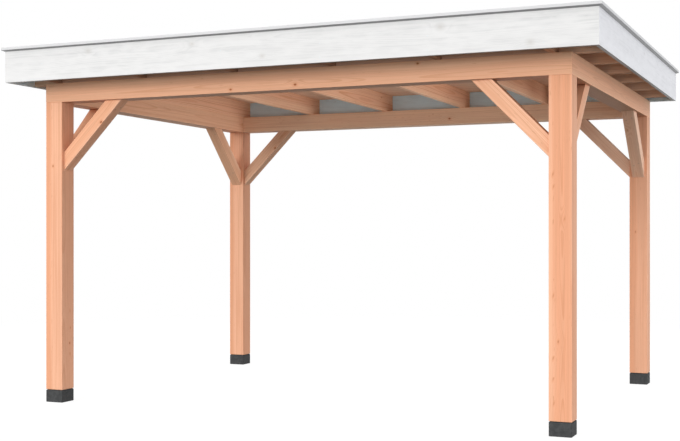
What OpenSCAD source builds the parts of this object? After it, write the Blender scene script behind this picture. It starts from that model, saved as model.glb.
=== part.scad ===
// Flat-roofed timber patio cover: four posts on stone feet, a ring of beams with knee braces,
// rafters with side lookouts, a boarded deck, a membrane, white fascias and a metal edge trim.
// Origin: on the ground under the middle of the outline. +X right, +Y to the back, +Z up.

/* [Frame] */
// Width over the outer faces of the posts
frame_w = 4070; // [3400:10:4800]
// Depth over the outer faces of the posts
frame_d = 3060; // [2700:10:3600]
// Side of the square posts
post_side = 150; // [120:5:160]
// Height of the beams' undersides above the ground
headroom = 2300; // [2100:10:2500]
// Height of the beams
beam_h = 145; // [120:5:200]
// Height of the stone foot under each post
foot_h = 95; // [60:5:150]
// Side of the square knee braces
brace_side = 100; // [80:5:110]
// Reach of a brace, from the post's face to its lower edge at the beam
brace_reach = 522; // [450:1:650]
// Bevel along the edges of the posts, beams and braces
edge_bevel = 3; // [1:1:6]

/* [Roof] */
// How far the fascia's face stands out in front of the posts
front_overhang = 215; // [150:5:300]
// How far the fascia's face stands out beyond the posts at either end
side_overhang = 215; // [150:5:300]
// Thickness of the rafters and lookouts
rafter_t = 45; // [38:1:60]
// Height of the rafters and lookouts
rafter_h = 155; // [140:5:170]
// Clear distance from the last lookout to the back of the frame
lookout_end = 260; // [200:10:400]
// Thickness of the roof boards
deck_t = 20; // [16:1:24]
// Thickness of the roof membrane
membrane_t = 3; // [2:1:4]
// Thickness of the fascia boards
fascia_t = 28; // [20:1:35]
// Height of the fascia boards that shows below the trim
fascia_show = 232; // [220:1:240]
// How far the fascias hang below the tops of the beams
fascia_drop = 5; // [2:1:12]

/* [Edge trim] */
// How far the trim stands out from the fascia
trim_out = 22; // [15:1:30]
// Height of the sloping drip edge below the trim's face
drip_h = 15; // [8:1:18]
// Height of the trim's upright face
lip_h = 19; // [12:1:28]
// Thickness of the trim's flat top
trim_t = 4; // [3:1:5]
// How far the trim's top reaches past the membrane's upstand
trim_cover = 12; // [8:1:20]

/* [Hidden] */

timber = "peru";
white_paint = "whitesmoke";
rafter_count = 6;
lookout_count = 6;

// The roof's outline at the faces of the fascias, then with the trim
roof_x = frame_w / 2 + side_overhang;
roof_d = front_overhang + frame_d + fascia_t;
outline_d = roof_d + 2 * trim_out;

// Front and back of the frame and of the roof, from the origin
roof_front = -outline_d / 2 + trim_out;
roof_back = roof_front + roof_d;
frame_front = roof_front + front_overhang;
frame_mid = frame_front + frame_d / 2;
frame_x = frame_w / 2;

// Levels
beam_top = headroom + beam_h;
deck_z = beam_top + rafter_h;
membrane_z = deck_z + deck_t;
fascia_z = beam_top - fascia_drop;
trim_z = fascia_z + fascia_show;
roof_top = trim_z + drip_h + lip_h;
fascia_h = roof_top - trim_t - fascia_z;

// Rafters: the outer two stand flush with the inner faces of the side beams
rafter_first = -frame_x + post_side - rafter_t / 2;
rafter_pitch = -2 * rafter_first / (rafter_count - 1);
rafter_front = roof_front + fascia_t;
rafter_back = roof_back - fascia_t;

// Lookouts: the first stands flush with the inner face of the front beam
lookout_first = frame_front + post_side - rafter_t / 2;
lookout_last = frame_front + frame_d - lookout_end - rafter_t / 2;
lookout_pitch = (lookout_last - lookout_first) / (lookout_count - 1);
lookout_inner = -rafter_first + rafter_t / 2;
lookout_outer = roof_x - fascia_t;

// The membrane's upstand stands against the fascias, and the trim's top covers it
trim_in = fascia_t + membrane_t + trim_cover;
lip_bevel = 2;

// Square bar of a given side along +Z, centred, with bevelled long edges
module bar(side_x, side_y, length) {
    x = side_x / 2;
    y = side_y / 2;
    b = edge_bevel;
    linear_extrude(length)
        polygon([
            [b - x, -y], [x - b, -y], [x, b - y], [x, y - b],
            [x - b, y], [b - x, y], [-x, y - b], [-x, b - y]
        ]);
}

// Puts a child on the corner post: sx is -1 at the left, sy is -1 at the front
module at_corner(sx, sy) {
    translate([
        sx * (frame_x - post_side / 2),
        frame_mid + sy * (frame_d - post_side) / 2,
        0
    ])
        children();
}

module foot(sx, sy) {
    color("dimgray")
        at_corner(sx, sy) bar(post_side, post_side, foot_h);
}

module post(sx, sy) {
    color(timber)
        at_corner(sx, sy)
            translate([0, 0, foot_h]) bar(post_side, post_side, headroom - foot_h);
}

// A beam along X with its inner face towards +Y, mitred to the beams at both ends
module mitred_beam(length) {
    intersection() {
        translate([-length / 2, post_side / 2, headroom + beam_h / 2])
            rotate([0, 90, 0]) bar(beam_h, post_side, length);
        linear_extrude(roof_top)
            polygon([
                [-length / 2, 0], [length / 2, 0],
                [length / 2 - post_side, post_side], [-length / 2 + post_side, post_side]
            ]);
    }
}

module beam_front() {
    color(timber)
        translate([0, frame_front, 0]) mitred_beam(frame_w);
}

module beam_back() {
    color(timber)
        translate([0, frame_front + frame_d, 0]) rotate(180) mitred_beam(frame_w);
}

module beam_side(sx) {
    color(timber)
        translate([sx * frame_x, frame_mid, 0]) rotate(sx * 90) mitred_beam(frame_d);
}

// A brace up and out along +X from a post's face at the origin, cut to the post and the beam
module knee_brace() {
    brace_mid = brace_reach - brace_side * sqrt(2) / 2;
    color(timber)
        intersection() {
            translate([0, 0, headroom - brace_mid])
                rotate([0, 45, 0])
                    translate([0, 0, -brace_side])
                        bar(brace_side, brace_side, brace_reach * 2);
            translate([0, -brace_side, headroom - 2 * brace_reach])
                cube([2 * brace_reach, 2 * brace_side, 2 * brace_reach]);
        }
}

// A brace along the front or back beam
module brace_across(sx, sy) {
    at_corner(sx, sy)
        rotate(90 + sx * 90) translate([post_side / 2, 0, 0]) knee_brace();
}

// A brace along a side beam
module brace_along(sx, sy) {
    at_corner(sx, sy)
        rotate(-sy * 90) translate([post_side / 2, 0, 0]) knee_brace();
}

module rafter(index) {
    color(timber)
        translate([
            rafter_first + (index - 1) * rafter_pitch - rafter_t / 2,
            rafter_front,
            beam_top
        ])
            cube([rafter_t, rafter_back - rafter_front, rafter_h]);
}

module lookouts(sx) {
    color(timber)
        for (i = [0 : lookout_count - 1])
            translate([
                sx * (lookout_inner + lookout_outer) / 2,
                lookout_first + i * lookout_pitch,
                beam_top + rafter_h / 2
            ])
                cube([lookout_outer - lookout_inner, rafter_t, rafter_h], center = true);
}

module roof_deck() {
    color("sienna")
        translate([fascia_t - roof_x, rafter_front, deck_z])
            cube([2 * (roof_x - fascia_t), rafter_back - rafter_front, deck_t]);
}

module roof_membrane() {
    inner_w = 2 * (roof_x - fascia_t);
    inner_d = rafter_back - rafter_front;
    color("darkslategray")
        translate([-inner_w / 2, rafter_front, membrane_z])
            difference() {
                cube([inner_w, inner_d, roof_top - trim_t - membrane_z]);
                translate([membrane_t, membrane_t, membrane_t])
                    cube([inner_w - 2 * membrane_t, inner_d - 2 * membrane_t, roof_top]);
            }
}

// The space that an edge piece of the roof may fill, mitred at both ends: face at Y = 0, inside at +Y
module mitre_space(length) {
    reach = trim_out + trim_in;
    linear_extrude(roof_top + trim_out)
        polygon([
            [-length / 2 - reach, -reach], [length / 2 + reach, -reach],
            [length / 2 - reach, reach], [reach - length / 2, reach]
        ]);
}

module fascia_board(length) {
    color(white_paint)
        intersection() {
            translate([-length / 2, 0, fascia_z]) cube([length, fascia_t, fascia_h]);
            mitre_space(length);
        }
}

// Section of the trim in front of the fascia, with X to the inside and Y up from its drip edge
module trim_section() {
    top = drip_h + lip_h;
    polygon([
        [0, 0], [0, top], [lip_bevel - trim_out, top],
        [-trim_out, top - lip_bevel], [-trim_out, drip_h]
    ]);
}

module trim_face(length) {
    color("silver")
        intersection() {
            translate([length / 2 + 2 * trim_out, 0, trim_z])
                rotate([90, 0, -90])
                    mirror([1, 0, 0])
                        linear_extrude(length + 4 * trim_out) trim_section();
            mitre_space(length);
        }
}

// The flat top of the trim, over the fascia and the edge of the membrane
module trim_top(length) {
    color("silver")
        intersection() {
            translate([-length / 2, 0, roof_top - trim_t]) cube([length, trim_in, trim_t]);
            mitre_space(length);
        }
}

// Turns an edge piece to each side of the roof
module front_edge() {
    translate([0, roof_front, 0]) children();
}

module back_edge() {
    translate([0, roof_back, 0]) rotate(180) children();
}

module end_edge(sx) {
    translate([sx * roof_x, (roof_front + roof_back) / 2, 0]) rotate(sx * 90) children();
}

foot(-1, -1);  // foot_front_left
foot(1, -1);  // foot_front_right
foot(-1, 1);  // foot_back_left
foot(1, 1);  // foot_back_right
post(-1, -1);  // post_front_left
post(1, -1);  // post_front_right
post(-1, 1);  // post_back_left
post(1, 1);  // post_back_right
beam_front();
beam_back();
beam_side(-1);  // beam_left
beam_side(1);  // beam_right
brace_across(-1, -1);  // brace_front_left
brace_across(1, -1);  // brace_front_right
brace_across(-1, 1);  // brace_back_left
brace_across(1, 1);  // brace_back_right
brace_along(-1, -1);  // brace_left_front
brace_along(-1, 1);  // brace_left_back
brace_along(1, -1);  // brace_right_front
brace_along(1, 1);  // brace_right_back
rafter(1);  // rafter_1
rafter(2);  // rafter_2
rafter(3);  // rafter_3
rafter(4);  // rafter_4
rafter(5);  // rafter_5
rafter(6);  // rafter_6
lookouts(-1);  // lookouts_left
lookouts(1);  // lookouts_right
roof_deck();
roof_membrane();
front_edge() fascia_board(2 * roof_x);  // fascia_front
back_edge() fascia_board(2 * roof_x);  // fascia_back
end_edge(-1) fascia_board(roof_d);  // fascia_left
end_edge(1) fascia_board(roof_d);  // fascia_right
front_edge() trim_face(2 * roof_x);  // trim_front
back_edge() trim_face(2 * roof_x);  // trim_back
end_edge(-1) trim_face(roof_d);  // trim_left
end_edge(1) trim_face(roof_d);  // trim_right
front_edge() trim_top(2 * roof_x);  // trim_top_front
back_edge() trim_top(2 * roof_x);  // trim_top_back
end_edge(-1) trim_top(roof_d);  // trim_top_left
end_edge(1) trim_top(roof_d);  // trim_top_right
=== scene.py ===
import math
import random

import bmesh
import bpy
from mathutils import Matrix, Vector, noise


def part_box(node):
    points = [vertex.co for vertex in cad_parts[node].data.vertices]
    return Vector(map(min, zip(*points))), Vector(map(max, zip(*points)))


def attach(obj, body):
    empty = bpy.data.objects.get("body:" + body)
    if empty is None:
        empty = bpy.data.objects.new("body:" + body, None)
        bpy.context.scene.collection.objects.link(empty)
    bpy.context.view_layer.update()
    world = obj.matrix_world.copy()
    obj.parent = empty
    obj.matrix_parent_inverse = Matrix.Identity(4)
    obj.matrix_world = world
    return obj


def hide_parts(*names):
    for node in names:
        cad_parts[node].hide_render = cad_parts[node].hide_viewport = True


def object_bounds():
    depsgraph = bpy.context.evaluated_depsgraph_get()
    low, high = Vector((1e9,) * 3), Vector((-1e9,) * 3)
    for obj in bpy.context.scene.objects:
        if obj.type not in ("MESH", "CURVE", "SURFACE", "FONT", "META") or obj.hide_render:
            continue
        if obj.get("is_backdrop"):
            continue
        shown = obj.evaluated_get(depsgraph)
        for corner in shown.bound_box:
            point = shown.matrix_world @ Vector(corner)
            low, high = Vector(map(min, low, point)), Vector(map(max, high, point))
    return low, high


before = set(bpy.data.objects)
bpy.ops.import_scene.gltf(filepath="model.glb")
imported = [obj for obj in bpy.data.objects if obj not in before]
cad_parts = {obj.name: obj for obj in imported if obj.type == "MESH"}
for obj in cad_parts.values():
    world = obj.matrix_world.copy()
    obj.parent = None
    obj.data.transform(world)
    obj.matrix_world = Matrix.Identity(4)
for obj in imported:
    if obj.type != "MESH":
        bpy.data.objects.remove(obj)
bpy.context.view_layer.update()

# metres, +X right, +Y to the back, +Z up, with the origin on the ground under the roof's middle
scene = bpy.context.scene
print("frame loaded,", len(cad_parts), "nodes")


view = {
    "place": (3.696, -8.882, 1.282),  # at eye level, in front of the right-hand post
    "turn": 23.65,  # degrees round to the left from straight ahead
    "lens": 62.72,
    "sensor": 36,
    "shiftUp": 0.0215,  # the camera looks level, and the view slides up
    "farthest": 200,
}

cameraData = bpy.data.cameras.new("camera")
cameraData.lens = view["lens"]
cameraData.sensor_width = view["sensor"]
cameraData.shift_y = view["shiftUp"]
cameraData.clip_end = view["farthest"]
camera = bpy.data.objects.new("camera", cameraData)
camera.location = view["place"]
camera.rotation_euler = (math.radians(90), 0, math.radians(view["turn"]))
scene.collection.objects.link(camera)
scene.camera = camera

underRoof = ("rafter1", "rafter2", "rafter3", "rafter4", "rafter5", "roofBoards", "beamBack",
             "beamLeft", "fasciaBack", "braceLeft")
# place, what it points at, width and height, watts, colour, and the pieces it lights if not all
lampValues = {
    "keyLamp": ((-21, -46, 13), (0, 0, 1.5), (20, 20), 9600, (1, 1, 1), ()),
    "sideFill": ((8.5, 2.6, 0.3), (-0.5, 0.2, 2.5), (3.4, 3), 235, (1, 1, 1), underRoof),
    "floorFill": ((0, 0.6, 1.3), (0, 1.0, 2.5), (3.4, 0.8), 5, (1, 1, 1), underRoof),
    "panelFill": ((0, 0, 2.2), (0, 1.6, 2.52), (3.4, 0.3), 2.9, (0.62, 0.84, 1.0), ("fasciaBack",)),
}
lampReach = []  # a collection of pieces, and how their names start

for lampName, (place, target, (width, height), watts, colour, lit) in lampValues.items():
    lampData = bpy.data.lights.new(lampName, "AREA")
    lampData.shape = "ELLIPSE"
    lampData.size = width
    lampData.size_y = height
    lampData.energy = watts
    lampData.color = colour
    lamp = bpy.data.objects.new(lampName, lampData)
    lamp.location = place
    lamp.rotation_euler = (Vector(target) - Vector(place)).to_track_quat("-Z", "Y").to_euler()
    lamp.visible_camera = False
    lamp.visible_glossy = False  # a broad lamp would leave glare on the pale paint
    scene.collection.objects.link(lamp)
    if lit:
        reached = bpy.data.collections.new(lampName + "Reach")
        lamp.light_linking.receiver_collection = reached
        lampReach.append((reached, lit))

scene.view_settings.view_transform = "Standard"


class Wire:
    # a socket that can be used in sums; each sum adds a Math node
    def __init__(self, recipe, socket):
        self.recipe = recipe
        self.socket = socket

    def maths(self, operation, *others):
        values = dict(enumerate((self, *others)))
        return self.recipe.node("ShaderNodeMath", {"operation": operation}, values)

    def reflected(self, operation, other):
        return self.recipe.node("ShaderNodeMath", {"operation": operation}, {0: other, 1: self})

    def __add__(self, other):
        return self.maths("ADD", other)

    def __sub__(self, other):
        return self.maths("SUBTRACT", other)

    def __rsub__(self, other):
        return self.reflected("SUBTRACT", other)

    def __mul__(self, other):
        return self.maths("MULTIPLY", other)

    def __truediv__(self, other):
        return self.maths("DIVIDE", other)

    def __rtruediv__(self, other):
        return self.reflected("DIVIDE", other)

    __radd__ = __add__
    __rmul__ = __mul__


class Recipe:
    # the nodes of one material or world
    def __init__(self, owner):
        self.owner = owner
        owner.use_nodes = True
        self.tree = owner.node_tree
        self.tree.nodes.clear()

    def node(self, kind, settings=None, sockets=None, out=0):
        made = self.tree.nodes.new(kind)
        for key, value in (settings or {}).items():
            if key == "stops":
                ramp = made.color_ramp
                ramp.elements[0].position, ramp.elements[-1].position = value[0][0], value[-1][0]
                for position, colour in value[1:-1]:
                    ramp.elements.new(position)
                for stop, (position, colour) in zip(ramp.elements, value):
                    stop.color = (*colour, 1)
            else:
                setattr(made, key, value)
        for key, value in (sockets or {}).items():
            shown = [socket for socket in made.inputs if socket.enabled]
            target = shown[key] if isinstance(key, int) else next(s for s in shown if s.name == key)
            if isinstance(value, Wire):
                self.tree.links.new(value.socket, target)
            elif target.type == "RGBA":
                target.default_value = (*value[:3], 1)
            else:
                target.default_value = value
        shown = [socket for socket in made.outputs if socket.enabled]
        if not shown:
            return None
        return Wire(self, shown[out] if isinstance(out, int) else next(s for s in shown if s.name == out))

    def vector(self, operation, *values, out="Vector"):
        return self.node("ShaderNodeVectorMath", {"operation": operation}, dict(enumerate(values)), out)

    def length(self, vector):
        return self.vector("LENGTH", vector, out="Value")

    def scaled(self, colour, amount):
        sockets = {"Vector": colour, "Scale": amount}
        return self.node("ShaderNodeVectorMath", {"operation": "SCALE"}, sockets)

    def blend(self, amount, first, second):
        sockets = {"Factor": amount, "A": first, "B": second}
        return self.node("ShaderNodeMix", {"data_type": "RGBA"}, sockets, "Result")

    def step(self, value, low, high, start=0.0, end=1.0):
        return self.node(
            "ShaderNodeMapRange", {"interpolation_type": "SMOOTHSTEP"},
            {"Value": value, "From Min": low, "From Max": high, "To Min": start, "To Max": end},
        )

    def attribute(self, name, out="Vector"):
        return self.node("ShaderNodeAttribute", {"attribute_name": name}, out=out)

    def parts(self, vector):
        return [self.node("ShaderNodeSeparateXYZ", None, {"Vector": vector}, axis) for axis in "XYZ"]

    def joined(self, x, y, z):
        return self.node("ShaderNodeCombineXYZ", None, {"X": x, "Y": y, "Z": z})

    def cloud(self, vector, pace, detail=2.0, out="Fac"):
        # pace is how often the pattern changes in a metre, along each axis
        pace = pace if isinstance(pace, tuple) else (pace, pace, pace)
        spread = self.vector("MULTIPLY", vector, pace)
        return self.node("ShaderNodeTexNoise", None, {"Vector": spread, "Scale": 1.0, "Detail": detail}, out)

    def surface(self, colour, roughness, height, look, fixed):
        bump = {"Strength": look["bump"], "Distance": look["relief"], "Height": height}
        sockets = {"Base Color": colour, "Roughness": roughness, **fixed}
        sockets["Normal"] = self.node("ShaderNodeBump", None, bump)
        shader = self.node("ShaderNodeBsdfPrincipled", None, sockets)
        self.node("ShaderNodeOutputMaterial", None, {"Surface": shader})
        return self.owner


def shownRays(recipe):
    # rays from the camera, and those that metal and glass send on to the backdrop
    rays = [recipe.node("ShaderNodeLightPath", out=name)
            for name in ("Is Camera Ray", "Is Glossy Ray", "Is Transmission Ray")]
    return rays[0].maths("MAXIMUM", rays[1]).maths("MAXIMUM", rays[2])


roomLight = {
    "heights": (-90, -35, -20, -8, 0, 10, 25, 50, 90),  # in degrees
    "brightest": 2.0,
    "sides": (  # front, right, back, left: axis and half, how bright at those heights, and tint
        (1, "MINIMUM", (0.04, 0.05, 0.40, 0.85, 1.38, 1.70, 1.10, 0.94, 0.75), (1.01, 1.0, 1.0)),
        (0, "MAXIMUM", (0.04, 0.05, 0.45, 1.40, 1.90, 1.65, 1.05, 0.85, 0.75), (0.99, 1.0, 1.03)),
        (1, "MAXIMUM", (0.04, 0.05, 0.10, 0.35, 0.72, 1.12, 1.00, 0.82, 0.75), (1.0, 1.0, 1.0)),
        (0, "MINIMUM", (0.04, 0.05, 0.08, 0.25, 0.60, 0.98, 0.88, 0.76, 0.75), (1.0, 1.0, 1.0)),
    ),
}

room = Recipe(bpy.data.worlds.new("studioRoom"))
scene.world = room.owner
away = room.parts(room.node("ShaderNodeTexCoord", out="Generated"))
rampPlaces = [0.5 + 0.5 * math.sin(math.radians(height)) for height in roomLight["heights"]]
level = away[2] * 0.5 + 0.5
across = (away[0] * away[0] + away[1] * away[1]).maths("MAXIMUM", 0.000001)  # never nought
roomColour = (0, 0, 0)
for axis, half, levels, tint in roomLight["sides"]:
    stops = [(place, [value / roomLight["brightest"]] * 3) for place, value in zip(rampPlaces, levels)]
    wall = room.node("ShaderNodeValToRGB", {"stops": stops}, {"Fac": level}, "Color")
    facing = away[axis].maths(half, 0.0)
    share = facing * facing / across * roomLight["brightest"]
    roomColour = room.vector("ADD", roomColour, room.scaled(room.vector("MULTIPLY", wall, tint), share))
roomColour = room.blend(shownRays(room), roomColour, (1, 1, 1))
room.node("ShaderNodeOutputWorld", None, {
    "Surface": room.node("ShaderNodeBackground", None, {"Color": roomColour, "Strength": 1.0}),
})

ground = {"half": 90, "pale": 0.86, "glow": 0.8, "glowStrength": 1.12, "shadowReach": (5.5, 9)}

bpy.ops.mesh.primitive_plane_add(size=2 * ground["half"], location=(0, 0, 0))
floor = bpy.context.object
floor.name = "studioFloor"
paleFloor = Recipe(bpy.data.materials.new("paleFloor"))
unseen = paleFloor.node("ShaderNodeBsdfTransparent", None, {"Color": (1, 1, 1)})
pale = paleFloor.node("ShaderNodeBsdfDiffuse", None, {"Color": (ground["pale"],) * 3})
fromMiddle = paleFloor.length(paleFloor.node("ShaderNodeTexCoord", out="Object"))
faded = paleFloor.step(fromMiddle, *ground["shadowReach"], ground["glow"], 1.0)
brightness = paleFloor.step(fromMiddle, *ground["shadowReach"], ground["glowStrength"], 1.0)
glow = paleFloor.node("ShaderNodeEmission", None, {"Color": (1, 1, 1), "Strength": brightness})
seen = paleFloor.node("ShaderNodeMixShader", None, {0: faded, 1: pale, 2: glow})
paleFloor.node("ShaderNodeOutputMaterial", None, {
    "Surface": paleFloor.node("ShaderNodeMixShader", None, {0: shownRays(paleFloor), 1: unseen, 2: seen}),
})
floor.data.materials.append(paleFloor.owner)
floor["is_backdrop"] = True
print("camera, lamps, room and floor made")


wood = {  # the paces are changes in a metre across, across and along the grain
    "seedShift": (3.1, 5.3, 7.7),  # sets one timber's patterns apart from the next one's
    "broadPace": (9, 9, 0.5), "ripplePace": (15, 15, 1.4),
    "streakPace": (62, 62, 0.9), "fibrePace": (620, 620, 9),
    "lateWood": (0.3, 0.9, 0.93),  # where in a ring the dark wood starts, is darkest and fades
    "faintestRing": 0.35, "heartBlur": 0.02, "heartRipple": 0.03,
    "dashPace": (120, 120, 13), "dashLean": (0.07, 0.05), "dashEdge": (0.68, 0.76),
    "dashesOutside": 0.3, "dashesAtHeart": 3.0,
    "knotStretch": 0.7,  # below 1, a knot is longer along the grain
    "flowStretch": 0.45,
    "slimSizes": (0.004, 0.0055),  # knots smaller than the first are slanted resin marks
    "slimLean": (0.22, 0.15), "slimStretch": 0.42,
    "core": (0.55, 1.15), "halo": (1.0, 2.8),
    "coreSizes": (0.003, 0.0085),  # knots smaller than the first have the palest core
    "palestCore": 0.3, "arrisHighlightWidth": (0.001, 0.009),
}


def growth(mix, look):
    # the growth rings, heartwood, streaks and knots of a timber whose grain runs along its own Z
    spot = mix.attribute("grainSpot")
    heart = mix.attribute("heart")
    # the third part of the half size is each face's painted shade or light
    halfX, halfY, paintedSideShade = mix.parts(mix.attribute("halfSize"))
    x, y, z = mix.parts(spot)
    seed = mix.parts(heart)[2]
    shift = mix.joined(*(seed * amount for amount in wood["seedShift"]))
    seeded = mix.vector("ADD", spot, shift)

    # rings lie round a pith that wanders, and flow round each knot
    wander = mix.cloud(mix.vector("MULTIPLY", seeded, (0, 0, 1)), (1, 1, look["wanderPace"]), 1.0, "Color")
    wander = mix.vector("SUBTRACT", wander, (0.5, 0.5, 0.5))
    wander = mix.vector("MULTIPLY", wander, (look["wander"], look["wander"], 0))
    fromPith = mix.vector("ADD", mix.vector("SUBTRACT", spot, heart), wander)
    radius = mix.length(mix.vector("MULTIPLY", fromPith, (1, 1, 0)))
    ripple = mix.cloud(seeded, wood["ripplePace"])
    fromKnot = mix.vector("SUBTRACT", spot, mix.attribute("nearKnot"))
    flowGap = mix.length(mix.vector("MULTIPLY", fromKnot, (1, 1, wood["flowStretch"])))
    flow = mix.step(flowGap, 0.0, look["flowReach"], look["flow"], 0.0)
    ring = (radius + (ripple - 0.5) * look["ripple"] + flow) / look["ringWidth"]
    phase = ring.maths("FRACT")
    lateStart, lateDarkest, lateEnd = wood["lateWood"]
    lateWood = mix.step(phase, lateStart, lateDarkest) * mix.step(phase, lateEnd, 1.0, 1.0, 0.0)
    ringSeed = ring.maths("FLOOR") + seed
    ringLuck = mix.node("ShaderNodeTexWhiteNoise", {"noise_dimensions": "1D"}, {"W": ringSeed}, "Value")
    lateWood = lateWood * (wood["faintestRing"] + ringLuck * (1 - wood["faintestRing"]))
    heartEnds = [look["heartEdge"] - wood["heartBlur"], look["heartEdge"] + wood["heartBlur"]]
    heartwood = mix.step(radius + (ripple - 0.5) * wood["heartRipple"], *heartEnds, 1.0, 0.0)

    # short resin dashes, most of them where the heartwood ends
    leanX, leanY = wood["dashLean"]
    leaning = mix.vector("ADD", mix.joined(x - z * leanX, y + z * leanY, z), shift)
    dash = mix.step(mix.cloud(leaning, wood["dashPace"], 1.0), *wood["dashEdge"])
    dash = dash * (wood["dashesOutside"] + heartwood * (1 - heartwood) * wood["dashesAtHeart"])

    knotSize = mix.attribute("knotSize", "Fac")
    knotX, knotY, knotZ = mix.parts(fromKnot)
    slim = mix.step(knotSize, *wood["slimSizes"], 1.0, 0.0)
    leanX, leanY = wood["slimLean"]
    knotGap = mix.length(mix.joined(
        knotX - knotZ * slim * leanX,
        knotY + knotZ * slim * leanY,
        knotZ * (wood["knotStretch"] - slim * wood["slimStretch"]),
    )) / knotSize
    knotCore = mix.step(knotGap, *wood["core"], 1.0, 0.0)
    knotCore = knotCore * mix.step(knotSize, *wood["coreSizes"], wood["palestCore"], 1.0)
    fromArris = (halfX - x.maths("ABSOLUTE")).maths("MAXIMUM", halfY - y.maths("ABSOLUTE"))
    return {
        "lateWood": lateWood, "heartwood": heartwood, "dash": dash, "knotCore": knotCore,
        "paintedSideShade": paintedSideShade,
        "knotHalo": mix.step(knotGap, *wood["halo"], 1.0, 0.0),
        # a painted highlight along the eased edges
        "arris": mix.step(fromArris, *wood["arrisHighlightWidth"], 1.0, 0.0),
        "streak": mix.cloud(seeded, wood["streakPace"], 3.0),
        "broad": mix.cloud(seeded, wood["broadPace"]),
        "fibre": mix.cloud(seeded, wood["fibrePace"]),
    }


def relief(grown, heights):
    return sum(grown[name] * height for name, height in heights.items())


softwood = {
    "pale": (0.93, 0.52, 0.338), "red": (0.86, 0.425, 0.253), "late": (0.84, 0.73, 0.64),
    "resin": (0.6, 0.27, 0.14), "halo": (0.7, 0.28, 0.13), "knot": (0.36, 0.1, 0.036),
    "ringWidth": 0.0052, "ripple": 0.008, "wander": 0.05, "wanderPace": 0.7, "heartEdge": 0.07,
    "flow": 0.011, "flowReach": 0.05,
    "grain": 0.7, "streaks": 0.75, "streakEdge": (0.42, 0.7), "streakTone": 0.22, "streakMiddle": 0.48,
    # arris is the strength of the painted highlight along the eased edges
    "tones": 0.16, "fibreTone": 0.16, "dashes": 0.6, "arris": 0.08,
    "shadeEdge": (0.85, 1.0), "shadeRed": 0.8,  # sides darkened by painted shade are painted redder too
    "faintHalo": 0.35, "coreShare": 0.9,
    "roughness": 0.62, "lateGloss": 0.1, "fibreRough": 0.12, "specular": 0.12,
    "relief": 0.0004, "bump": 0.6,
    "heights": {"lateWood": 0.5, "fibre": 0.5, "dash": -0.6, "knotCore": -0.4},
}


def timberFinish(name, **changes):
    look = dict(softwood, **changes)
    mix = Recipe(bpy.data.materials.new(name))
    grown = growth(mix, look)
    streaky = mix.step(grown["streak"], *look["streakEdge"]) * look["streaks"]
    # faces with painted shade are painted redder
    shaded = mix.step(grown["paintedSideShade"], *look["shadeEdge"], look["shadeRed"], 0.0)
    reddish = grown["heartwood"].maths("MAXIMUM", streaky).maths("MAXIMUM", shaded)
    colour = mix.blend(reddish, look["pale"], look["red"])
    darker = mix.blend(grown["lateWood"] * look["grain"], (1, 1, 1), look["late"])
    colour = mix.vector("MULTIPLY", colour, darker)
    tone = 1 + (grown["broad"] - 0.5) * look["tones"] + (grown["fibre"] - 0.5) * look["fibreTone"]
    tone = tone + (look["streakMiddle"] - grown["streak"]) * look["streakTone"]
    # painted highlight along the eased edges
    tone = tone + grown["arris"] * look["arris"]
    colour = mix.blend(grown["dash"] * look["dashes"], colour, look["resin"])
    # each side is darkened or lightened by its painted shade or light
    colour = mix.scaled(colour, tone * grown["paintedSideShade"])
    haloShare = grown["knotHalo"] * grown["knotCore"].maths("MAXIMUM", look["faintHalo"])
    colour = mix.blend(haloShare, colour, look["halo"])
    colour = mix.blend(grown["knotCore"] * look["coreShare"], colour, look["knot"])
    rough = look["roughness"] - grown["lateWood"] * look["lateGloss"]
    rough = rough + (grown["fibre"] - 0.5) * look["fibreRough"]
    height = relief(grown, look["heights"])
    return mix.surface(colour, rough, height, look, {"Specular IOR Level": look["specular"]})


postTimber = timberFinish("postTimber")
beamTimber = timberFinish("beamTimber", pale=(0.9, 0.55, 0.355), red=(0.85, 0.47, 0.295))
# a paler, less red copy for the back beam: painted light on its shaded inner face
backBeamTimber = timberFinish("backBeamTimber", pale=(0.9, 0.63, 0.44), red=(0.85, 0.54, 0.365))
braceTimber = timberFinish("braceTimber", pale=(0.95, 0.56, 0.372), red=(0.88, 0.465, 0.285), dashes=0.4)
# copies of the brace timber: a paler, less red one with painted light for the two braces on the back-right
# post, and a duller one with painted shade for the two on the back-left post
paleBraceTimber = timberFinish("paleBraceTimber", pale=(0.98, 0.68, 0.5), red=(0.92, 0.57, 0.39),
                               dashes=0.4)
dullBraceTimber = timberFinish("dullBraceTimber", pale=(0.83, 0.54, 0.37), red=(0.77, 0.445, 0.28),
                               dashes=0.4)
# the rafters' colours are paler than the posts': painted light for their shaded sides under the roof
rafterTimber = timberFinish("rafterTimber", pale=(0.98, 0.64, 0.44), red=(0.93, 0.54, 0.35),
                            late=(0.8, 0.64, 0.52), grain=0.95, ringWidth=0.008, roughness=0.7)
# the lookouts are darker and greyer than the other timbers: painted shade for the overhang
lookoutTimberPaintedShade = timberFinish("lookoutTimberPaintedShade", pale=(0.76, 0.56, 0.42), red=(0.7, 0.48, 0.34),
                             late=(0.85, 0.74, 0.64), ringWidth=0.008, roughness=0.7)
# the blocking is darker than the other timbers: painted shade behind the front fascia
blockTimberPaintedShade = timberFinish("blockTimberPaintedShade", pale=(0.66, 0.41, 0.3), red=(0.6, 0.36, 0.25), roughness=0.7)
# the roof boards are paler and less red than the posts: painted light under the roof
deckTimberPaintedLight = timberFinish("deckTimberPaintedLight", pale=(0.97, 0.68, 0.5), red=(0.84, 0.55, 0.385), roughness=0.7)


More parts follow.
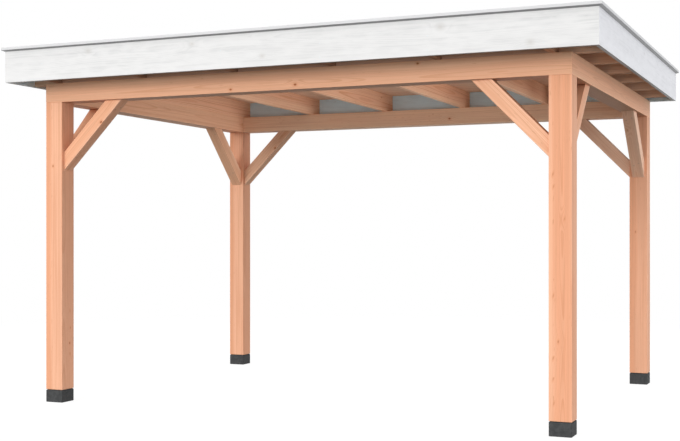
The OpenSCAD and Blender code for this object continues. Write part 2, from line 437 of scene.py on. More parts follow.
paint = {
    "paint": (0.788, 0.788, 0.779), "groove": (0.65, 0.655, 0.65), "knot": (0.6, 0.58, 0.55),
    "inner": (0.9, 1.14, 1.22), "innerEdge": (0.7, 0.95),  # inner is a painted cool light for inner faces, which are toned between these two
    # under is a painted shade for the undersides
    "under": (0.5, 0.44, 0.4), "underEdge": (0.4, 0.6),
    "ringWidth": 0.0085, "ripple": 0.022, "wander": 0.11, "wanderPace": 0.6, "heartEdge": 0.07,
    "flow": 0.018, "flowReach": 0.06,
    "thinPace": (26, 26, 7), "thinEdge": (0.3, 0.7), "thinLeast": 0.15, "thinTone": 0.04,
    "grain": 0.62, "streaks": 0.62, "streakEdge": (0.46, 0.74), "tones": 0.12, "dashes": 0.07,
    "haloShare": 0.3, "coreShare": 0.35,
    "roughness": 0.42, "fibreRough": 0.1, "specular": 0.15,
    "relief": 0.0006, "bump": 0.5,
    "heights": {"lateWood": 0.6, "fibre": 0.35, "dash": -0.5, "knotCore": -0.3},
}


def paintFinish(name, **changes):
    # thin white paint that lets the grain and the knots show through
    look = dict(paint, **changes)
    mix = Recipe(bpy.data.materials.new(name))
    grown = growth(mix, look)
    thin = mix.cloud(mix.attribute("grainSpot"), look["thinPace"], 3.0)
    thin = mix.step(thin, *look["thinEdge"], look["thinLeast"], 1.0)
    colour = mix.blend(grown["lateWood"] * thin * look["grain"], look["paint"], look["groove"])
    streaky = mix.step(grown["streak"], *look["streakEdge"])
    colour = mix.blend(streaky * thin * look["streaks"], colour, look["groove"])
    tone = 1 + (grown["broad"] - 0.5) * look["tones"] - (thin - 0.5) * look["thinTone"]
    colour = mix.scaled(colour, tone - grown["dash"] * look["dashes"])
    colour = mix.blend(grown["knotHalo"] * look["haloShare"], colour, look["knot"])
    colour = mix.blend(grown["knotCore"] * look["coreShare"], colour, look["knot"])
    # painted cool light on the inner faces and painted shade on the undersides
    for side in ("inner", "under"):
        amount = mix.step(grown["paintedSideShade"], *look[side + "Edge"], 1.0, 0.0)
        colour = mix.blend(amount, colour, mix.vector("MULTIPLY", colour, look[side]))
    rough = look["roughness"] + (grown["fibre"] - 0.5) * look["fibreRough"]
    height = relief(grown, look["heights"])
    return mix.surface(colour, rough, height, look, {"Specular IOR Level": look["specular"]})


whitePaint = paintFinish("whitePaint")
# the side fascias' paint is paler and bluer than the front's: painted light from the sides
sidePaintPaintedLight = paintFinish("sidePaintPaintedLight", paint=(0.88, 0.885, 0.91), groove=(0.76, 0.765, 0.79))

stone = {
    "dark": (0.044, 0.046, 0.047), "light": (0.07, 0.072, 0.073), "fleck": (0.2, 0.2, 0.2),
    "mottlePace": 45, "mottleEdge": (0.3, 0.75), "gritPace": 420, "gritTone": 0.4,
    "fleckPace": 170.0, "fleckEdge": (0.1, 0.24), "flecks": 0.22,
    "roughness": 0.82, "gritRough": 0.2, "relief": 0.0012, "bump": 0.7,
    "heights": {"grit": 0.7, "mottle": 0.5, "fleck": -0.3},
}


def stoneFinish():
    look = stone
    mix = Recipe(bpy.data.materials.new("sawnStone"))
    place = mix.node("ShaderNodeTexCoord", out="Object")
    paintedSideShade = mix.parts(mix.attribute("halfSize"))[2]
    mottle = mix.cloud(place, look["mottlePace"], 4.0)
    grit = mix.cloud(place, look["gritPace"], 3.0)
    cells = {"Vector": place, "Scale": look["fleckPace"]}
    fleck = mix.node("ShaderNodeTexVoronoi", {"feature": "F1"}, cells, "Distance")
    fleck = mix.step(fleck, *look["fleckEdge"], 1.0, 0.0)
    colour = mix.blend(mix.step(mottle, *look["mottleEdge"]), look["dark"], look["light"])
    # each side of a foot is darkened by its painted shade
    colour = mix.scaled(colour, (1 + (grit - 0.5) * look["gritTone"]) * paintedSideShade)
    colour = mix.blend(fleck * look["flecks"], colour, look["fleck"])
    height = relief({"grit": grit, "mottle": mottle, "fleck": fleck}, look["heights"])
    return mix.surface(colour, look["roughness"] + (grit - 0.5) * look["gritRough"], height, look, {})


rubber = {
    "clean": (0.03, 0.032, 0.035), "dusty": (0.11, 0.108, 0.1),
    "dustPace": 1.3, "dustEdge": (0.45, 0.75), "dust": 0.6, "crumbPace": 260, "crumbTone": 0.3,
    "roughness": 0.62, "dustRough": 0.2, "relief": 0.0004, "bump": 0.5,
}


def rubberFinish():
    look = rubber
    mix = Recipe(bpy.data.materials.new("roofRubber"))
    place = mix.node("ShaderNodeTexCoord", out="Object")
    dust = mix.cloud(place, look["dustPace"], 5.0)
    crumb = mix.cloud(place, look["crumbPace"], 3.0)
    colour = mix.blend(mix.step(dust, *look["dustEdge"]) * look["dust"], look["clean"], look["dusty"])
    colour = mix.scaled(colour, 1 + (crumb - 0.5) * look["crumbTone"])
    return mix.surface(colour, look["roughness"] + dust * look["dustRough"], crumb, look, {})


metal = {
    "linesAcross": 900, "cloudPace": (20, 20, 2), "base": 0.94, "lineTone": 0.14, "cloudTone": 0.1,
    "lineRough": 0.12, "cloudRough": 0.14, "relief": 0.0002, "bump": 0.4,
}


def metalFinish(name, colour, roughness, linesAlong, metallic=0.9):
    # drawn lines run along the length, with a light scatter of handling marks
    look = metal
    mix = Recipe(bpy.data.materials.new(name))
    spot = mix.attribute("grainSpot")
    lines = mix.cloud(spot, (look["linesAcross"], look["linesAcross"], linesAlong))
    cloudy = mix.cloud(spot, look["cloudPace"], 3.0)
    tone = look["base"] + (lines - 0.5) * look["lineTone"] + cloudy * look["cloudTone"]
    rough = roughness + (lines - 0.5) * look["lineRough"] + (cloudy - 0.5) * look["cloudRough"]
    return mix.surface(mix.scaled(colour, tone), rough, lines, look, {"Metallic": metallic})


sawnStone = stoneFinish()
roofRubber = rubberFinish()
trimMetal = metalFinish("trimMetal", (0.70, 0.703, 0.708), 0.5, 3, 0.05)  # powder coated
screwSteel = metalFinish("screwSteel", (0.55, 0.55, 0.54), 0.3, 300)
# the drip fold is much darker than the rest of the trim: painted shade under the lip
dripMetalPaintedShade = metalFinish("dripMetalPaintedShade", (0.29, 0.292, 0.295), 0.5, 3)
print("finishes made")


faceVectors = ("heart", "halfSize", "nearKnot")
noKnot = ((0, 0, -9), 0.01)  # its place, far off, and half width
planed = {"endTone": 0.85, "dipPace": 9, "dipPaceAlong": 4, "dipSeed": 17, "sideFrom": 0.9}


def outline(width, height, radius, steps=3, cell=None):
    # a rounded oblong, anticlockwise from its lower right corner
    points = []
    for corner in range(4):
        centreX = (1, 1, -1, -1)[corner] * (width / 2 - radius)
        centreY = (-1, 1, 1, -1)[corner] * (height / 2 - radius)
        for step in range(steps + 1):
            angle = math.radians(corner * 90 - 90 + step * 90 / steps)
            points.append((centreX + radius * math.cos(angle), centreY + radius * math.sin(angle)))
    if not cell:
        return points
    divided = []
    for here, there in zip(points, points[1:] + points[:1]):
        gap = math.dist(here, there)
        count = max(1, round(gap / cell)) if gap > cell else 1
        divided += [(here[0] + (there[0] - here[0]) * i / count, here[1] + (there[1] - here[1]) * i / count)
                    for i in range(count)]
    return divided


def placing(origin, along, up=(0, 0, 1)):
    # a timber's own Z runs along it, its Y is up, and its X is across
    along, up = Vector(along).normalized(), Vector(up).normalized()
    across = up.cross(along)
    turned = Matrix((across, up, along)).transposed().to_4x4()
    return Matrix.Translation(Vector(origin)) @ turned


def startShape():
    shape = bmesh.new()
    shape.verts.layers.float_vector.new("grainSpot")
    for name in faceVectors:
        shape.faces.layers.float_vector.new(name)
    shape.faces.layers.float.new("knotSize")
    return shape


def loft(shape, profile, stations, place, grain=None, heart=(0, 0, 0), half=(9, 9), knots=(), uneven=0.0,
         finish=0, tones=(1, 1, 1, 1), tail=(0, 1)):
    # stations are (height, slope in x, slope in y, inset); the profile is swept through them and capped;
    # the last argument is how far the first end is darkened with painted shade, and to what share
    vertLayer = shape.verts.layers.float_vector["grainSpot"]
    faceLayers = {name: shape.faces.layers.float_vector[name] for name in faceVectors}
    sizeLayer = shape.faces.layers.float["knotSize"]
    halfX = max(abs(x) for x, y in profile)
    halfY = max(abs(y) for x, y in profile)
    pace, paceAlong = planed["dipPace"], planed["dipPaceAlong"]
    dipSeed = heart[2] * planed["dipSeed"]
    rings = []
    for height, slopeX, slopeY, inset in stations:
        ring = []
        for x, y in profile:
            x, y = x * (1 - inset / halfX), y * (1 - inset / halfY)
            spot = Vector((x, y, height + slopeX * x + slopeY * y))
            if uneven:  # faces are planed, but not dead flat
                wave = noise.noise(Vector((x * pace, y * pace, spot.z * paceAlong + dipSeed)))
                dip = uneven * (0.5 + 0.5 * wave)
                spot.x -= math.copysign(dip, x) if abs(x) > halfX * planed["sideFrom"] else 0
                spot.y -= math.copysign(dip, y) if abs(y) > halfY * planed["sideFrom"] else 0
            vert = shape.verts.new(place @ spot)
            vert[vertLayer] = grain(spot) if grain else spot
            ring.append(vert)
        rings.append(ring)
    faces = []
    count = len(profile)
    for i in range(count):
        j = (i + 1) % count
        # tones are painted shade and light for the sides that face local +X, +Y, -X and -Y
        along, up = profile[j][0] - profile[i][0], profile[j][1] - profile[i][1]
        side = (1 if along < 0 else 3) if abs(along) > abs(up) else (0 if up > 0 else 2)
        for lower, upper in zip(rings, rings[1:]):
            faces.append((shape.faces.new((lower[i], lower[j], upper[j], upper[i])), tones[side]))
    faces += [(shape.faces.new(ends), planed["endTone"]) for ends in (rings[0][::-1], rings[-1])]
    for face, tone in faces:
        middle = sum(vert[vertLayer].z for vert in face.verts) / len(face.verts)
        nearest = min(knots, key=lambda knot: abs(knot[0][2] - middle), default=noKnot)
        face[faceLayers["heart"]] = heart
        # the third part carries the side's painted shade or light, darker still on a shaded tail
        face[faceLayers["halfSize"]] = (*half, tone * (tail[1] if middle < tail[0] else 1))
        face[faceLayers["nearKnot"]] = nearest[0]
        face[sizeLayer] = nearest[1]
        face.material_index = finish


solid = {"cell": 0.14, "clearEnd": 0.01, "pithSpread": 0.25, "uneven": 0.0003, "hearts": 97}
stray = {
    "first": (0.15, 0.5), "gap": (0.45, 0.95), "clearEnd": 0.1,
    "spread": 0.4, "halfWidth": (0.0025, 0.006),
}


def strayKnots(luck, size, length):
    # a few knots on faces that nothing special is known of
    knots = []
    z = luck.uniform(*stray["first"])
    while z < length - stray["clearEnd"]:
        face = luck.randrange(4)
        side = (1, -1)[face % 2]
        spread = luck.uniform(-stray["spread"], stray["spread"])
        if face < 2:
            place = (side * size[0] / 2, spread * size[1], z)
        else:
            place = (spread * size[0], side * size[1] / 2, z)
        knots.append((place, luck.uniform(*stray["halfWidth"])))
        z += luck.uniform(*stray["gap"])
    return knots


def timber(shape, place, size, start, end, seed, knots=(), arris=0.004, heart=None, ease=0.0,
           tones=(1, 1, 1, 1), tail=(0, 1)):
    # start and end are (height on the axis, slope in x, slope in y) of the cuts across the ends
    luck = random.Random(seed)
    reach = [abs(cut[1]) * size[0] / 2 + abs(cut[2]) * size[1] / 2 for cut in (start, end)]
    first = start[0] + reach[0] + solid["clearEnd"]
    last = end[0] - reach[1] - solid["clearEnd"]
    count = max(2, round((last - first) / solid["cell"]))
    stations = [(*start, ease)]
    if ease:
        stations.append((start[0] + ease, *start[1:], 0.0))
    stations += [(first + (last - first) * i / count, 0, 0, 0.0) for i in range(count + 1)]
    if ease:
        stations.append((end[0] - ease, *end[1:], 0.0))
    stations.append((*end, ease))
    if heart is None:
        off = solid["pithSpread"]
        heart = (luck.uniform(-off, off) * size[0], luck.uniform(-off, off) * size[1])
    heart = (*heart, seed % solid["hearts"] + luck.random())
    knots = knots or strayKnots(luck, size, end[0])
    loft(shape, outline(*size, arris), stations, place, heart=heart, half=(size[0] / 2, size[1] / 2),
         knots=knots, uneven=solid["uneven"], tones=tones, tail=tail)


sharpFrom = math.radians(50)


def placePiece(title, shape, finishes, slotName, *nodes):
    words = title.split("_")  # post_front_left becomes postFrontLeft
    name = words[0] + "".join(word.capitalize() for word in words[1:])
    shape.normal_update()
    for face in shape.faces:
        face.smooth = True
    for edge in shape.edges:
        if len(edge.link_faces) == 2 and edge.calc_face_angle(0) > sharpFrom:
            edge.smooth = False
    mesh = bpy.data.meshes.new(name)
    shape.to_mesh(mesh)
    shape.free()
    for finish in finishes:
        mesh.materials.append(finish)
    piece = bpy.data.objects.new(name, mesh)
    scene.collection.objects.link(piece)
    evenNormals = piece.modifiers.new("evenNormals", "WEIGHTED_NORMAL")
    evenNormals.keep_sharp = True
    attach(piece, "root")
    if nodes:
        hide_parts(*nodes)
    for reached, starts in lampReach:
        if name.startswith(starts):
            reached.objects.link(piece)


corners = ("front_left", "front_right", "back_left", "back_right")

foot = {
    "arris": 0.004, "steps": 2, "cell": 0.0065, "topDrop": 0.0025,
    "rows": 15, "rowShift": 0.7, "bottomEase": 0.0024, "topEase": 0.0028,
    # painted shade on the right-hand side of each foot, deeper on the right-hand feet, and on the front
    "leftTone": 0.66, "rightTone": 0.54, "frontTone": 0.93,
    "rough": 0.0007, "roughPace": 150, "pitPace": 60, "pitFrom": 0.15, "pitDepth": 2.2, "pitSeed": 9,
}
rubberPad = {"inset": 0.007, "height": 0.0045, "corner": 0.004, "ease": 0.0005, "easeIn": 0.0004}

for number, corner in enumerate(corners):
    low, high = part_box("foot_" + corner)
    side = high.x - low.x
    middle = Vector(((low.x + high.x) / 2, (low.y + high.y) / 2, low.z))
    top = high.z - low.z - foot["topDrop"]
    profile = outline(side, side, foot["arris"], foot["steps"], foot["cell"])
    rows, bottomEase, topEase = foot["rows"], foot["bottomEase"], foot["topEase"]
    stations = [(0, 0, 0, bottomEase), (bottomEase, 0, 0, 0)]
    stations += [(top * (i + foot["rowShift"]) / rows, 0, 0, 0) for i in range(rows - 1)]
    stations += [(top - topEase, 0, 0, 0), (top, 0, 0, topEase)]
    paintedSideShade = foot["leftTone" if "left" in corner else "rightTone"]
    shape = startShape()
    loft(shape, profile, stations, Matrix.Translation(middle), tones=(paintedSideShade, 1, 1, foot["frontTone"]))
    shift = Vector((number * foot["pitSeed"], 0, 0))
    for vert in shape.verts:  # sawn faces with small hollows
        out = Vector((vert.co.x - middle.x, vert.co.y - middle.y, 0))
        size = max(abs(out.x), abs(out.y))
        pit = max(0, noise.noise(vert.co * foot["pitPace"] + shift) - foot["pitFrom"])
        hollow = 0.5 + 0.5 * noise.noise(vert.co * foot["roughPace"])
        vert.co -= out / size * foot["rough"] * (hollow + foot["pitDepth"] * pit)
    placePiece("foot_" + corner, shape, [sawnStone], "foot_stone", "foot_" + corner)

    pad = startShape()
    inner = side - 2 * rubberPad["inset"]
    padHigh = top + rubberPad["height"]
    stations = [(top, 0, 0, rubberPad["easeIn"]), (top + rubberPad["ease"], 0, 0, 0),
                (padHigh - rubberPad["ease"], 0, 0, 0), (padHigh, 0, 0, rubberPad["easeIn"])]
    padOutline = outline(inner, inner, rubberPad["corner"], foot["steps"])
    loft(pad, padOutline, stations, Matrix.Translation(middle))
    placePiece("footPad_" + corner, pad, [roofRubber], "membrane")
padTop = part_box("foot_front_left")[1].z - foot["topDrop"] + rubberPad["height"]
print("feet made")


post = {"seed": 11, "ease": 0.0015}
postKnots = {  # across, across, up from the pad; then the knot's half width
    "front_left": [
        ((-0.009, -0.075, 1.715), 0.006), ((0.075, 0.026, 0.27), 0.0045), ((0.075, 0.022, 0.352), 0.0065),
        ((0.075, 0.03, 0.47), 0.005), ((0.075, 0.024, 0.6), 0.0035), ((0.01, 0.075, 1.2), 0.006),
    ],
    "front_right": [
        ((-0.046, -0.075, 1.574), 0.004), ((-0.042, -0.075, 1.495), 0.0034),
        ((0.028, -0.075, 1.288), 0.0034), ((-0.044, -0.075, 0.8), 0.0036),
        ((-0.012, -0.075, 0.508), 0.0048), ((-0.044, -0.075, 0.403), 0.004),
        ((-0.044, -0.075, 0.27), 0.0036), ((-0.04, -0.075, 0.115), 0.0036),
    ],
}
postHearts = {  # where the pith lies, which is where the wood is reddest
    "front_left": (-0.095, -0.06), "front_right": (0.012, -0.05),
    "back_left": (-0.095, -0.05), "back_right": (-0.08, -0.06),
}
postPaintedShades = {  # painted shade on the right-hand side and on the front
    "front_left": (0.9, 0.97), "front_right": (0.96, 1),
    "back_left": (0.85, 1), "back_right": (0.96, 0.93),
}

for number, corner in enumerate(corners):
    low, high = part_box("post_" + corner)
    side = high.x - low.x
    place = placing(((low.x + high.x) / 2, (low.y + high.y) / 2, padTop), (0, 0, 1), (0, 1, 0))
    rightTone, frontTone = postPaintedShades[corner]
    shape = startShape()
    timber(shape, place, (side, side), (0, 0, 0), (high.z - padTop, 0, 0), post["seed"] + number,
           postKnots.get(corner, ()), heart=postHearts[corner], ease=post["ease"],
           tones=(rightTone, 1, 1, frontTone))
    placePiece("post_" + corner, shape, [postTimber], "post_timber", "post_" + corner)
print("posts made")


# the four sides of the roof, anticlockwise from the front: name, corner it starts at, direction it runs in
sides = (("front", (-1, -1), (1, 0, 0)), ("right", (1, -1), (0, 1, 0)),
         ("back", (1, 1), (-1, 0, 0)), ("left", (-1, 1), (0, -1, 0)))


def sideRun(part, corner, along):
    # one side of a ring of nodes: its start, its length, and the ring's bottom and top
    lows, highs = zip(*[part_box(f"{part}_{side[0]}") for side in sides])
    low = Vector([min(place[axis] for place in lows) for axis in range(3)])
    high = Vector([max(place[axis] for place in highs) for axis in range(3)])
    start = Vector((low.x if corner[0] < 0 else high.x, low.y if corner[1] < 0 else high.y, 0))
    return start, high.x - low.x if along[0] else high.y - low.y, low.z, high.z


def mitred(shape, part, corner, along, thick, *rest, **more):
    # one timber of a ring, cut at 45 degrees at both ends
    start, length, bottom, top = sideRun(part, corner, along)
    inward = Vector((0, 0, 1)).cross(Vector(along))
    place = placing(start + inward * thick / 2 + Vector((0, 0, (bottom + top) / 2)), along)
    cuts = (thick / 2, 1, 0), (length - thick / 2, -1, 0)
    timber(shape, place, (thick, top - bottom), *cuts, *rest, **more)
    return start, inward


# tones give painted shade to the undersides; the right beam's outer face gets painted light, the front
# beam's outer face a little painted shade
beam = {"seed": 31, "arris": 0.003, "ease": 0.0006, "tones": (1, 1, 1, 0.88)}
beamPaintedShades = {"right": (1, 1, 1.12, 0.88), "front": (1, 1, 0.985, 0.88)}
beamKnots = {
    "front": [((-0.075, -0.05, 1.616), 0.0075), ((-0.075, -0.04, 2.128), 0.0085),
              ((-0.075, 0.054, 3.035), 0.007), ((0.075, 0.01, 0.8), 0.008)],
    "back": [((0.075, -0.022, 1.778), 0.008), ((-0.075, 0.02, 0.9), 0.008), ((-0.075, -0.03, 2.9), 0.006)],
    "left": [((-0.075, 0.02, 1.1), 0.007), ((-0.075, -0.035, 2.3), 0.005)],
    "right": [((0.075, 0.01, 0.6), 0.006), ((0.075, -0.03, 2.1), 0.007)],
}
beamFinishes = {"back": backBeamTimber}
beamLow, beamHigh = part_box("beam_front")

for number, (sideName, corner, along) in enumerate(sides):
    shape = startShape()
    mitred(shape, "beam", corner, along, beamHigh.y - beamLow.y, beam["seed"] + number,
           beamKnots.get(sideName, ()), arris=beam["arris"], ease=beam["ease"],
           tones=beamPaintedShades.get(sideName, beam["tones"]))
    finish = beamFinishes.get(sideName, beamTimber)
    placePiece("beam_" + sideName, shape, [finish], "beam_timber", "beam_" + sideName)
print("beams made")


# the four braces on the right-hand posts get painted shade on their upper faces
brace = {"seed": 51, "paintedTopShade": 0.66}
plugs = {
    "radius": 0.009, "sides": 18, "straight": 0.0001, "proud": 0.0004, "easeIn": 0.0006,
    "fromEnd": 0.07, "shift": 0.03, "across": 0.022, "stagger": 0.012,
    "pith": (0.03, 0.02), "seedGap": 0.01,
}


def disc(shape, place, radius, straight, proud, easeIn, sides=20, **more):
    # a low round head with an eased rim, seated a millimetre into the face it stands on
    turns = [math.tau * i / sides for i in range(sides)]
    rim = [(math.cos(turn) * radius, math.sin(turn) * radius) for turn in turns]
    loft(shape, rim, [(-0.001, 0, 0, 0), (straight, 0, 0, 0), (proud, 0, 0, easeIn)], place, **more)


def plug(shape, place, seed):
    # a wooden plug over a sunk screw, its grain running across
    disc(shape, place, plugs["radius"], plugs["straight"], plugs["proud"], plugs["easeIn"], plugs["sides"],
         grain=lambda spot: Vector((spot.z, spot.x + seed * plugs["seedGap"], spot.y)),
         heart=(*plugs["pith"], seed))


braceKnots = {
    "front_left": [((0.037, -0.05, 0.443), 0.0078)], "back_left": [((0.037, -0.05, 0.443), 0.0075)],
    "front_right": [((-0.05, 0.01, 0.4), 0.006)], "right_front": [((-0.05, 0.02, 0.3), 0.006)],
}
# painted light and painted shade copies of the brace timber
braceFinishes = {
    "back_right": paleBraceTimber, "right_back": paleBraceTimber,
    "back_left": dullBraceTimber, "left_back": dullBraceTimber,
}
braceNodes = (  # the way each one leans out from its post
    ("front_left", (1, 0, 0)), ("front_right", (-1, 0, 0)),
    ("back_left", (1, 0, 0)), ("back_right", (-1, 0, 0)),
    ("left_front", (0, 1, 0)), ("left_back", (0, -1, 0)),
    ("right_front", (0, 1, 0)), ("right_back", (0, -1, 0)),
)

for number, (where, out) in enumerate(braceNodes):
    low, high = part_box("brace_" + where)
    out = Vector(out)
    reach = high.z - low.z
    side = min(high.x - low.x, high.y - low.y)
    axisRise = reach - side * math.sqrt(0.5)  # how far below the beam the axis leaves the post
    run = axisRise * math.sqrt(2)
    origin = (low + high) / 2 - out * reach / 2
    origin.z = high.z - axisRise
    along = (out + Vector((0, 0, 1))).normalized()
    below = (out - Vector((0, 0, 1))).normalized()
    place = placing(origin, along, along.cross(below))
    paintedTopShade = brace["paintedTopShade"] if "right" in where else 1
    shape = startShape()
    timber(shape, place, (side, side), (0, -1, 0), (run, 1, 0), brace["seed"] + number,
           braceKnots.get(where, ()), tones=(1, 1, paintedTopShade, 1))
    for end in (plugs["fromEnd"], run - plugs["fromEnd"]):
        end += plugs["shift"]
        for across in (-1, 1):
            spot = Vector((side / 2, across * plugs["across"], end + across * plugs["stagger"]))
            plug(shape, placing(place @ spot, below, along), number * 4 + across + end)
    finish = braceFinishes.get(where, braceTimber)
    placePiece("brace_" + where, shape, [finish], "brace_timber", "brace_" + where)
print("braces made")


# the rafters' front tails are darkened with painted shade over their first 0.25 m
rafter = {
    "seed": 71, "arris": 0.002, "pithIn": 0.034, "pithUp": (-0.02, 0.03, -0.03, 0.01, -0.01, 0.02),
    "tail": 0.25, "tailPaintedShades": (0.32, 0.32, 0.32, 0.32, 0.32, 0.65),
}
rafterBoxes = [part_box(f"rafter_{number}") for number in range(1, 7)]

for number, (low, high) in enumerate(rafterBoxes):
    place = placing(((low.x + high.x) / 2, low.y, (low.z + high.z) / 2), (0, 1, 0))
    shape = startShape()
    timber(shape, place, (high.x - low.x, high.z - low.z), (0, 0, 0), (high.y - low.y, 0, 0),
           rafter["seed"] + number, arris=rafter["arris"],
           heart=(rafter["pithIn"], rafter["pithUp"][number]),
           tail=(rafter["tail"], rafter["tailPaintedShades"][number]))
    placePiece(f"rafter{number + 1}", shape, [rafterTimber], "rafter_timber", f"rafter_{number + 1}")

block = {"seed": 81, "thick": 0.045, "setBack": 0.002, "gap": 0.0005}

# blocking fills the gaps between the rafters over the front beam
shape = startShape()
gap = block["gap"]
for number, ((low, high), following) in enumerate(zip(rafterBoxes, rafterBoxes[1:])):
    y = beamLow.y + block["setBack"] + block["thick"] / 2
    place = placing((high.x + gap, y, (low.z + high.z) / 2), (1, 0, 0))
    timber(shape, place, (block["thick"], high.z - low.z - 2 * gap), (0, 0, 0),
           (following[0].x - high.x - 2 * gap, 0, 0), block["seed"] + number, arris=rafter["arris"])
placePiece("blocking", shape, [blockTimberPaintedShade], "rafter_timber")

# tones give painted light to the front sides and painted shade to the undersides
lookout = {
    "seed": 90, "tones": (1, 1, 1.25, 0.85),
    "piths": ((0.04, -0.05), (-0.04, -0.03), (0.04, -0.01), (-0.04, 0.01), (0.04, 0.03), (-0.04, 0.05)),
}
joistThick = rafterBoxes[0][1].x - rafterBoxes[0][0].x

for sideName in ("left", "right"):
    node = "lookouts_" + sideName
    low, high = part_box(node)
    pitch = (high.y - low.y - joistThick) / (len(lookout["piths"]) - 1)
    lookoutYs = [low.y + joistThick / 2 + i * pitch for i in range(len(lookout["piths"]))]
    joistMiddle = (low.z + high.z) / 2
    shape = startShape()
    for i, (y, pith) in enumerate(zip(lookoutYs, lookout["piths"])):
        timber(shape, placing((low.x, y, joistMiddle), (1, 0, 0)), (joistThick, high.z - low.z), (0, 0, 0),
               (high.x - low.x, 0, 0), lookout["seed"] + i, arris=rafter["arris"], heart=pith,
               tones=lookout["tones"])
    placePiece(node, shape, [lookoutTimberPaintedShade], "rafter_timber", node)
print("rafters and lookouts made")


board = {
    "seed": 200, "count": 28, "cells": 12, "joint": 0.0004, "vee": 0.0035,
    "tongue": 0.006, "tongueHalf": (0.002, 0.0015), "grooveHalf": (0.0025, 0.002), "grooveClear": 0.001,
    "pithAcross": 0.03, "pithBelow": (0.03, 0.09),
}

low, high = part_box("roof_deck")
length = high.x - low.x
cover = (high.y - low.y) / board["count"]
halfCover, halfThick = cover / 2 - board["joint"], (high.z - low.z) / 2
vee, tongue = board["vee"], board["tongue"]
rootHalf, tipHalf = board["tongueHalf"]
mouthHalf, bedHalf = board["grooveHalf"]
grooveBed = tongue + board["grooveClear"] - halfCover
boardProfile = [
    (halfCover - vee, -halfThick), (halfCover, vee - halfThick), (halfCover, -rootHalf),
    (halfCover + tongue, -tipHalf), (halfCover + tongue, tipHalf), (halfCover, rootHalf),
    (halfCover, halfThick), (-halfCover, halfThick), (-halfCover, mouthHalf),
    (grooveBed, bedHalf), (grooveBed, -bedHalf), (-halfCover, -mouthHalf),
    (-halfCover, vee - halfThick), (vee - halfCover, -halfThick),
]
boardStations = [(length * step / board["cells"], 0, 0, 0) for step in range(board["cells"] + 1)]
shape = startShape()
for i in range(board["count"]):
    luck = random.Random(board["seed"] + i)
    lastOne = i == board["count"] - 1  # its tongue is cut off
    profile = [(min(x, halfCover), y) for x, y in boardProfile] if lastOne else boardProfile
    place = placing((low.x, low.y + (i + 0.5) * cover, (low.z + high.z) / 2), (1, 0, 0))
    pithX = luck.uniform(-board["pithAcross"], board["pithAcross"])
    pithY = -luck.uniform(*board["pithBelow"])
    heart = (pithX, pithY, i + luck.random())
    loft(shape, profile, boardStations, place, heart=heart, half=(halfCover, halfThick),
         knots=strayKnots(luck, (cover, 2 * halfThick), length))
placePiece("roofBoards", shape, [deckTimberPaintedLight], "deck_timber", "roof_deck")
print("roof boards made")


# tones give painted shade to the inner faces and the undersides
fascia = {
    "seed": 111, "arris": 0.0025, "ease": 0.0006, "pith": (0.05, 0.04), "tones": (0.7, 1, 1, 0.4),
    "screw": (0.004, 0.0002, 0.0005, 0.00064),  # radius, straight part, whole height, ease of the rim
    "screwSunk": 0.0004, "screwRise": 0.045,
}
fasciaKnots = {  # across, up, along
    "front": [((-0.014, 0.064, 0.758), 0.012), ((-0.014, 0.058, 1.641), 0.009),
              ((-0.014, -0.06, 2.195), 0.009), ((-0.014, 0.048, 3.481), 0.013),
              ((-0.014, -0.087, 4.071), 0.012)],
}
rafterXs = [(low.x + high.x) / 2 for low, high in rafterBoxes]
fasciaLow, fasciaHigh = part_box("fascia_front")

for number, (sideName, corner, along) in enumerate(sides):
    shape = startShape()
    start, inward = mitred(shape, "fascia", corner, along, fasciaHigh.y - fasciaLow.y,
                           fascia["seed"] + number, fasciaKnots.get(sideName, ()), arris=fascia["arris"],
                           heart=fascia["pith"], ease=fascia["ease"], tones=fascia["tones"])
    # two screws into the end of each rafter or lookout
    joists = [(x, start.y) for x in rafterXs] if along[0] else [(start.x, y) for y in lookoutYs]
    for x, y in joists:
        for rise in (-fascia["screwRise"], fascia["screwRise"]):
            spot = Vector((x, y, joistMiddle + rise)) + inward * fascia["screwSunk"]
            disc(shape, placing(spot, -inward), *fascia["screw"])
    finish = sidePaintPaintedLight if along[1] else whitePaint
    placePiece("fascia_" + sideName, shape, [finish], "white_paint", "fascia_" + sideName)
print("fascias made")


trim = {
    "cell": 0.25, "mitre": 0.06, "topDip": 0.0015, "over": 0.0002,
    "screw": (0.0035, 0.00036, 0.0009, 0.00056), "screwEvery": 0.35, "screwIn": 0.012, "screwShift": 0.02,
}
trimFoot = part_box("trim_front")[0].z
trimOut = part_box("trim_front")[0].y - fasciaLow.y
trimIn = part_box("trim_top_front")[1].y - fasciaLow.y
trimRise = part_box("trim_top_front")[1].z - trimFoot
trimFlat = trimRise - trim["topDip"]
fasciaTop = fasciaHigh.z - trimFoot + trim["over"]

# the folded section, outward is negative: drip slope and fold, then lip, bead, flat top and rolled edge
dripProfile = [(-0.0005, 0.0042), (-0.0005, 0.0125), (-0.0195, 0.0125), (-0.0212, 0.0128), (-0.0208, 0.0118)]
lipProfile = [
    (-0.0185, 0.0132), (trimOut + 0.0007, 0.0130), (trimOut + 0.0001, 0.0136), (trimOut, 0.0144),
    (trimOut, trimRise - 0.0034), (trimOut + 0.0005, trimRise - 0.0016),
    (trimOut + 0.0016, trimRise - 0.0005), (trimOut + 0.0034, trimRise),
    (trimOut + 0.0055, trimRise - 0.0003), (trimOut + 0.0072, trimRise - 0.0011),
    (trimOut + 0.0085, trimFlat), (trimIn - 0.0025, trimFlat), (trimIn - 0.0008, trimRise - 0.0018),
    (trimIn, trimRise - 0.0027), (trimIn - 0.0008, trimRise - 0.0036), (trimIn - 0.0025, fasciaTop),
    (-0.0004, fasciaTop), (-0.0004, 0.0132),
]

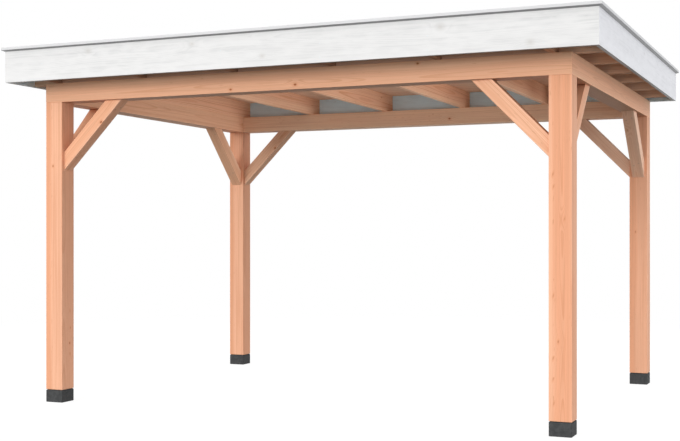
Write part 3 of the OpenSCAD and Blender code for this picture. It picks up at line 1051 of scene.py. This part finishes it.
for sideName, corner, along in sides:
    start, length = sideRun("fascia", corner, along)[:2]
    place = placing(start + Vector((0, 0, trimFoot)), along)
    mitre = trim["mitre"]
    count = round(length / trim["cell"])
    middle = [(mitre + (length - 2 * mitre) * i / count, 0, 0, 0.0) for i in range(count + 1)]
    stations = [(0.0, 1, 0, 0.0), *middle, (length, -1, 0, 0.0)]
    shape = startShape()
    loft(shape, lipProfile[::-1], stations, place)
    loft(shape, dripProfile, stations, place, finish=1)
    screws = max(2, round(length / trim["screwEvery"]))
    for i in range(screws):
        z = length * (i + 0.5) / screws + trim["screwShift"]
        spot = place @ Vector((trim["screwIn"], trimFlat, z))
        disc(shape, placing(spot, (0, 0, 1), along), *trim["screw"], finish=2)
    placePiece("trim_" + sideName, shape, [trimMetal, dripMetalPaintedShade, screwSteel], "trim_metal",
               "trim_" + sideName, "trim_top_" + sideName)
print("trims made")


sheet = {
    "cell": 0.06, "edge": 0.0005, "rise": 0.0012, "ripple": 0.0006, "ripplePace": 2.2, "rippleSeed": 3,
    "cove": 0.012, "coveLines": (0.004, 0.009), "coveRise": 0.9, "flatFrom": 0.02,
    "lap": 0.75, "lapHalf": 0.001, "lapClear": 0.007, "lapRise": 0.0009,  # laps are this far from the middle
}

low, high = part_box("roof_membrane")


def spread(first, last):
    count = max(1, math.ceil((last - first) / sheet["cell"]))
    return [first + (last - first) * i / count for i in range(count)]


def gridLines(first, last, laps):
    # lines across the sheet, close together in the coves and on either side of each lap
    coveSteps = (sheet["edge"], *sheet["coveLines"], sheet["cove"])
    half, clear, flat = sheet["lapHalf"], sheet["lapClear"], sheet["flatFrom"]
    lines = [first + step for step in coveSteps]
    reached = first + flat
    for lap in laps:
        lines += spread(reached, lap - clear) + [lap - clear, lap - half, lap + half]
        reached = lap + clear
    lines += spread(reached, last - flat) + [last - flat]
    return lines + [last - step for step in coveSteps[::-1]]


def sheetRise(x, y):
    # flat with slight ripples, doubled at the laps, and turned up in a cove all round
    inside = min(x - low.x, high.x - x, y - low.y, high.y - y)
    cove = max(0, 1 - inside / sheet["cove"])
    pace = sheet["ripplePace"]
    ripple = noise.noise(Vector((x * pace, y * pace, sheet["rippleSeed"])))
    rise = sheet["rise"] + sheet["ripple"] * ripple
    rise += sheet["lapRise"] * (abs(x) < sheet["lap"])
    return low.z + rise + cove ** 2 * sheet["cove"] * sheet["coveRise"]


xs = gridLines(low.x, high.x, (-sheet["lap"], sheet["lap"]))
ys = gridLines(low.y, high.y, ())
shape = startShape()
grid = [[shape.verts.new((x, y, sheetRise(x, y))) for y in ys] for x in xs]
for i in range(len(xs) - 1):
    for j in range(len(ys) - 1):
        shape.faces.new((grid[i][j], grid[i + 1][j], grid[i + 1][j + 1], grid[i][j + 1]))
rim = [row[0] for row in grid] + grid[-1][1:]
rim += [row[-1] for row in grid[-2::-1]] + grid[0][-2:0:-1]
upper = [shape.verts.new((vert.co.x, vert.co.y, high.z)) for vert in rim]
for i in range(len(rim)):
    j = (i + 1) % len(rim)
    shape.faces.new((rim[j], rim[i], upper[i], upper[j]))
placePiece("roofSheet", shape, [roofRubber], "membrane", "roof_membrane")
print("roof sheet made")


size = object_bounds()
